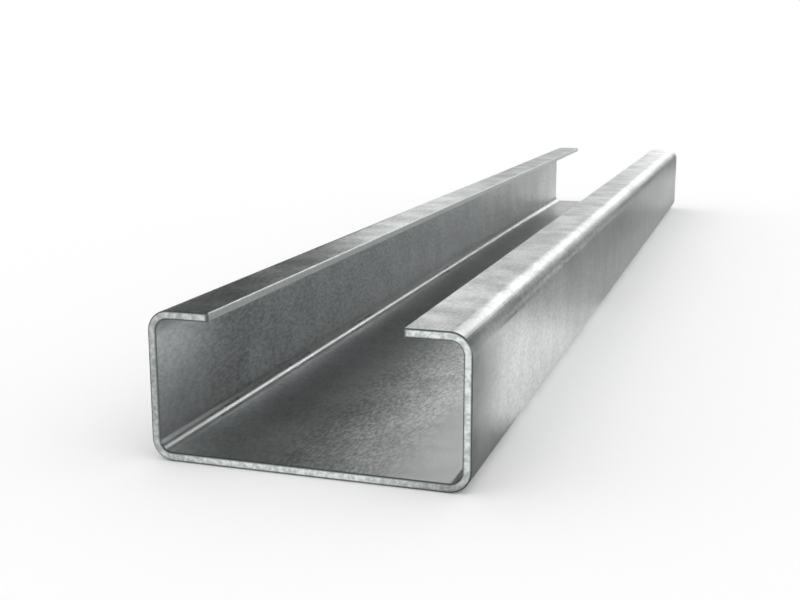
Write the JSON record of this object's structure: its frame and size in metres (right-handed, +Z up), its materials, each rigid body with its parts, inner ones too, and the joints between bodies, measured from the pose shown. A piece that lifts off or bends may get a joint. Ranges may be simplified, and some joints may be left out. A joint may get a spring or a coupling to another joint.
{
  "type": "lipped channel",
  "caption": "Straight length of cold roll-formed galvanised steel lipped channel, square cut, with a plain web, two flanges and inward lips along an open mouth.",
  "frame": {"origin": "centre of the web's underside, halfway along the length", "axes": "+Y along the stock length, +X across the web, +Z up from the web towards the open mouth"},
  "size_m": [0.075, 0.5, 0.035],
  "materials": {
    "galvanised_steel": "satin"
  },
  "bodies": {
    "root": {"lipped_channel": "galvanised_steel"}
  },
  "joints": []
}
